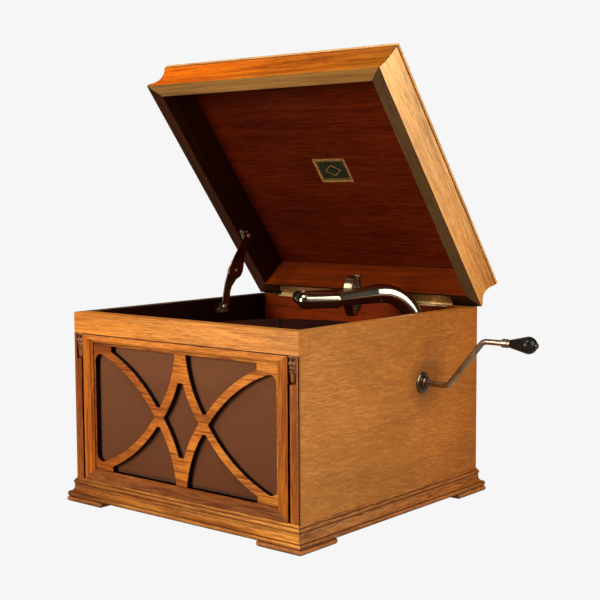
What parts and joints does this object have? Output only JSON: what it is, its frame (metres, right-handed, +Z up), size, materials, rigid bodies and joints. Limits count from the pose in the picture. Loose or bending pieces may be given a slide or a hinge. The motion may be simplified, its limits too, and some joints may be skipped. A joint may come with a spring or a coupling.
{
  "type": "table gramophone",
  "caption": "Oak table gramophone with an opened lid on a folding stay, a turntable, a throw-back tone arm, a side crank and an inside horn behind a fretwork grille",
  "frame": {"origin": "middle of the footprint, on the ground under the feet", "axes": "+Z up, +Y to the back with the lid hinges, -Y the grille front, +X the side with the crank"},
  "size_m": [0.5804, 0.4448, 0.61],
  "materials": {
    "black_wood": "black lacquer",
    "brass": "aged",
    "cast": "as cast, painted",
    "cloth": "woven",
    "felt": "felt",
    "inner_wood": "unfinished",
    "mahogany": "satin varnish",
    "mica": "mica with rubber rings",
    "nickel": "aged nickel plate",
    "nickel_dark": "worn nickel plate",
    "oak_dark": "satin varnish",
    "oak_front": "satin varnish",
    "oak_side": "satin varnish",
    "steel": "plain"
  },
  "bodies": {
    "case": {"side_left": "oak_side", "side_right": "oak_side", "back_board": "oak_dark", "bottom_board": "inner_wood", "top_rail": "oak_front", "post_left": "oak_front", "post_right": "oak_front", "drop_carvings": "oak_dark", "plinth_front": "oak_front", "plinth_back": "oak_front", "plinth_left": "oak_side", "plinth_right": "oak_side", "foot_front_left": "oak_front", "foot_front_right": "oak_front", "foot_back_left": "oak_front", "foot_back_right": "oak_front", "frame_top_rail": "oak_front", "frame_bottom_rail": "oak_front", "frame_left": "oak_front", "frame_right": "oak_front", "fret_panel": "oak_front", "grille_cloth": "cloth", "motor_board": "mahogany", "hinge_case_leaves": "brass", "case_screws": "brass", "stay_case_bracket": "brass", "arm_base": "nickel", "escutcheon": "nickel_dark", "motor_frame": "cast", "horn_throat": "cast", "horn": "inner_wood"},
    "lid": {"lid_front": "oak_front", "lid_back": "oak_dark", "lid_left": "oak_dark", "lid_right": "oak_side", "lid_top": "oak_front", "lid_panel": "mahogany", "hinge_lid_leaves": "brass", "lid_screws": "brass", "stay_lid_bracket": "brass"},
    "stay_low": {"stay_lower_link": "brass"},
    "stay_up": {"stay_upper_link": "brass"},
    "turntable": {"platter": "nickel", "felt_mat": "felt", "spindle": "steel"},
    "arm": {"tone_arm": "nickel"},
    "head": {"gooseneck": "nickel", "sound_box": "nickel", "diaphragm": "mica", "needle_bar": "nickel"},
    "needle_clamp": {"needle_screw": "nickel"},
    "crank": {"crank_rod": "nickel_dark"},
    "grip": {"crank_ferrule": "nickel_dark", "crank_grip": "black_wood"},
    "winding": {"winding_gear": "steel"},
    "barrel": {"spring_barrel": "steel"},
    "second": {"second_wheel": "brass"},
    "governor": {"governor": "brass"},
    "brake": {"brake_lever": "nickel"},
    "speed": {"speed_knob": "nickel"}
  },
  "joints": [
    {"name": "lid_fold", "type": "hinge", "parent": "case", "child": "lid", "pos_m": [0, 0.1965, 0.263], "axis": [1, 0, 0], "range_deg": [0, 52.2]},
    {"name": "stay_low_fold", "type": "hinge", "parent": "case", "child": "stay_low", "pos_m": [-0.18, 0.0808, 0.2501], "axis": [1, 0, 0], "range_deg": [0, 86.56]},
    {"name": "stay_up_fold", "type": "hinge", "parent": "lid", "child": "stay_up", "pos_m": [-0.18, 0.13637, 0.35684], "axis": [1, 0, 0], "range_deg": [-118.78, 0]},
    {"name": "turntable_spin", "type": "hinge", "parent": "case", "child": "turntable", "pos_m": [0, 0, 0.2345], "axis": [0, 0, 1], "continuous": true},
    {"name": "arm_swing", "type": "hinge", "parent": "case", "child": "arm", "pos_m": [0.14, 0.13, 0.228], "axis": [0, 0, 1], "range_deg": [-26, 34]},
    {"name": "head_fold", "type": "hinge", "parent": "arm", "child": "head", "pos_m": [0.0332, 0.0126, 0.2785], "axis": [0.8, -0.6, 0], "range_deg": [0, 181]},
    {"name": "needle_screw_turn", "type": "hinge", "parent": "head", "child": "needle_clamp", "pos_m": [0.06619, 0.09241, 0.3059], "axis": [0.9359, 0.3523, 0], "range_deg": [-360, 360]},
    {"name": "crank_spin", "type": "hinge", "parent": "case", "child": "crank", "pos_m": [0.2, 0.06, 0.172], "axis": [1, 0, 0], "continuous": true},
    {"name": "grip_spin", "type": "hinge", "parent": "crank", "child": "grip", "pos_m": [0.34, 0.06, 0.234], "axis": [1, 0, 0], "continuous": true},
    {"name": "winding_spin", "type": "hinge", "parent": "case", "child": "winding", "pos_m": [0.01, 0.06, 0.16], "axis": [0, 0, 1], "continuous": true},
    {"name": "barrel_spin", "type": "hinge", "parent": "case", "child": "barrel", "pos_m": [0.01, 0.06, 0.137], "axis": [0, 0, 1], "continuous": true},
    {"name": "second_spin", "type": "hinge", "parent": "case", "child": "second", "pos_m": [-0.0251, 0.0244, 0.16], "axis": [0, 0, 1], "continuous": true},
    {"name": "governor_spin", "type": "hinge", "parent": "case", "child": "governor", "pos_m": [0, -0.0238, 0.137], "axis": [1, 0, 0], "continuous": true},
    {"name": "brake_swing", "type": "hinge", "parent": "case", "child": "brake", "pos_m": [-0.128, -0.096, 0.221], "axis": [0, 0, 1], "range_deg": [-24, 0]},
    {"name": "speed_turn", "type": "hinge", "parent": "case", "child": "speed", "pos_m": [-0.14, -0.14, 0.216], "axis": [0, 0, 1], "range_deg": [-60, 60]}
  ],
  "couplings": [
    {"joint": "stay_low_fold", "follows": "lid_fold", "ratio": 1.6486},
    {"joint": "stay_up_fold", "follows": "lid_fold", "ratio": -2.2658},
    {"joint": "winding_spin", "follows": "crank_spin", "ratio": 0.3},
    {"joint": "barrel_spin", "follows": "turntable_spin", "ratio": 0.034091},
    {"joint": "second_spin", "follows": "turntable_spin", "ratio": -0.25},
    {"joint": "governor_spin", "follows": "turntable_spin", "ratio": 16.667}
  ]
}
